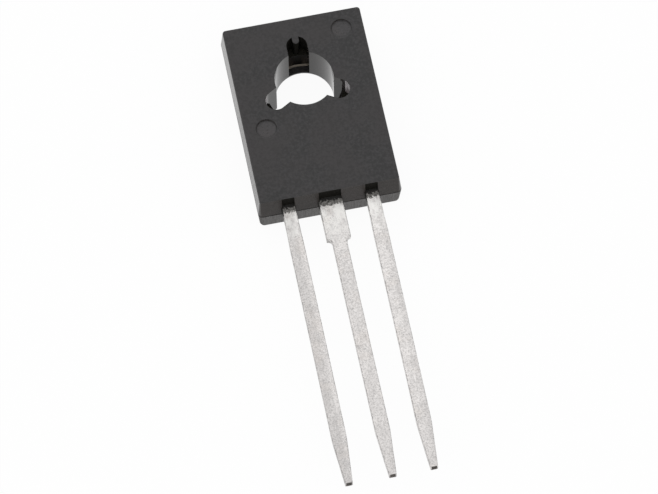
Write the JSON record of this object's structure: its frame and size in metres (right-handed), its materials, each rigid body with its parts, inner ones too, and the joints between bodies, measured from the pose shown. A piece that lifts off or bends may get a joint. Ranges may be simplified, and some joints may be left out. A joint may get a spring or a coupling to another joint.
{
  "type": "power transistor",
  "caption": "Flat moulded power transistor with a notched screw hole, a bare metal pad at the back and three flat tinned leads in a row.",
  "frame": {"origin": "axis of the screw hole, at the mounting face", "axes": "+Z out of the front face along the screw hole, +Y towards the hole end, away from the leads, +X across the body"},
  "size_m": [0.0076, 0.0261, 0.0025],
  "materials": {
    "epoxy": "fine matt moulded surface",
    "tinned_frame": "matt tin over copper alloy",
    "tinned_lead": "matt tin over copper alloy",
    "silicon": "polished",
    "solder": "satin",
    "bond_wire": "bright"
  },
  "bodies": {
    "root": {"body": "epoxy", "collector_frame": "tinned_frame", "emitter_lead": "tinned_lead", "base_lead": "tinned_lead", "die": "silicon", "die_solder": "solder", "emitter_wire": "bond_wire", "base_wire": "bond_wire"}
  },
  "joints": []
}
